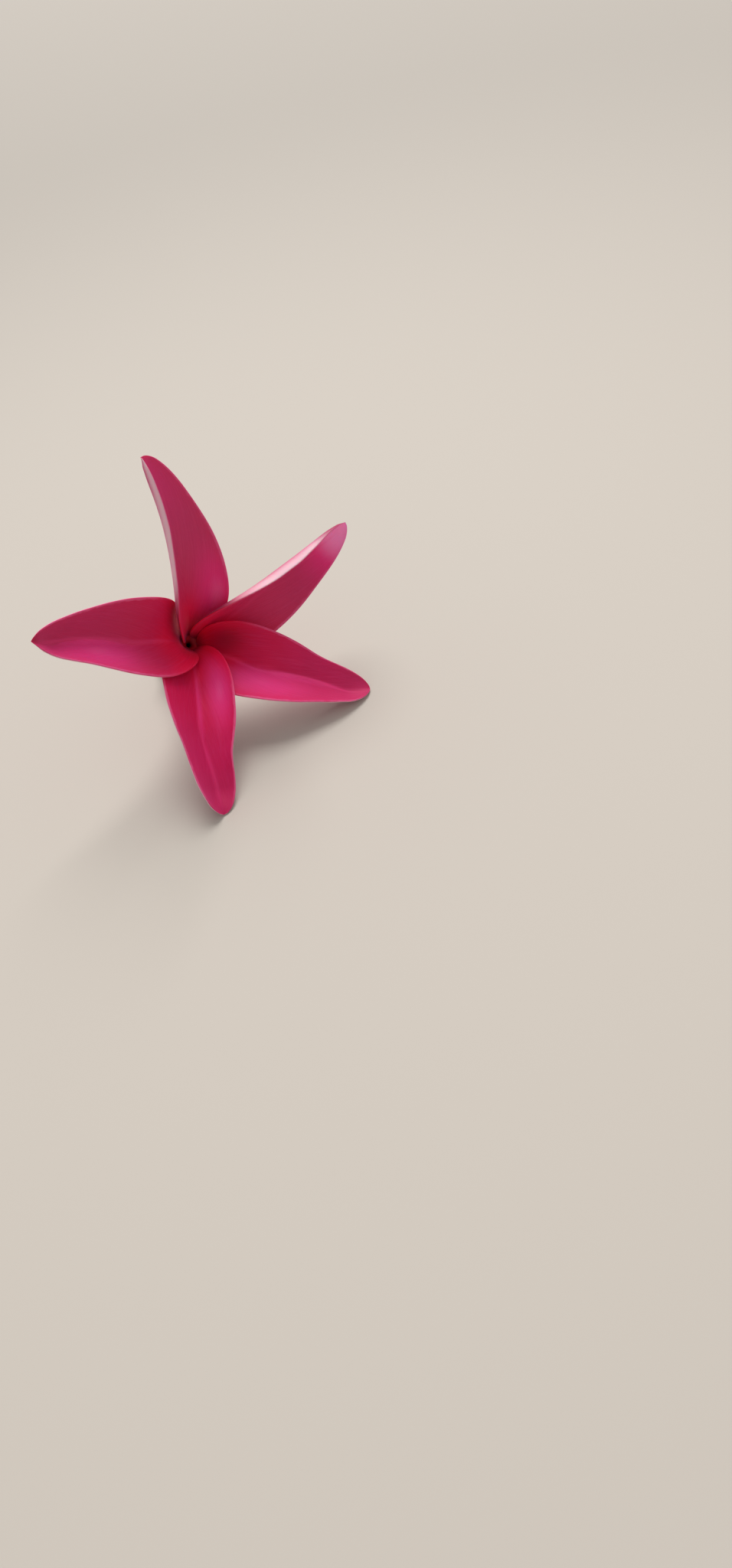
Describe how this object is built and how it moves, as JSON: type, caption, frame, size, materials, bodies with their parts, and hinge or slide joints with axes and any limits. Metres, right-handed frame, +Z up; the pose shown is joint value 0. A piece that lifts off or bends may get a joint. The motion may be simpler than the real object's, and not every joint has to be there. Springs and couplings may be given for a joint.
{
  "type": "frangipani flower",
  "caption": "Frangipani blossom as picked: magenta petals overlapping like a pinwheel round a narrow throat, on a slender tube with a small calyx and a short stalk, lying on its side.",
  "frame": {"origin": "middle of the bottom of the object's box, on the surface that the flower rests on", "axes": "+Z up, +X along the widest span of the petals, -Y the way the open face looks, leaning back"},
  "size_m": [0.098, 0.069, 0.0765],
  "materials": {
    "petal": "satin fresh petal, magenta front deepening to crimson at the throat, pale pink margins and back",
    "tube": "satin fresh tissue, pale pink",
    "calyx": "satin fresh tissue, olive green flushed red",
    "stalk": "smooth green stalk with a cut end"
  },
  "bodies": {
    "root": {"petal_top": "petal", "petal_upper_right": "petal", "petal_lower_right": "petal", "petal_bottom": "petal", "petal_left": "petal", "corolla_tube": "tube", "calyx": "calyx", "pedicel": "stalk"}
  },
  "joints": []
}
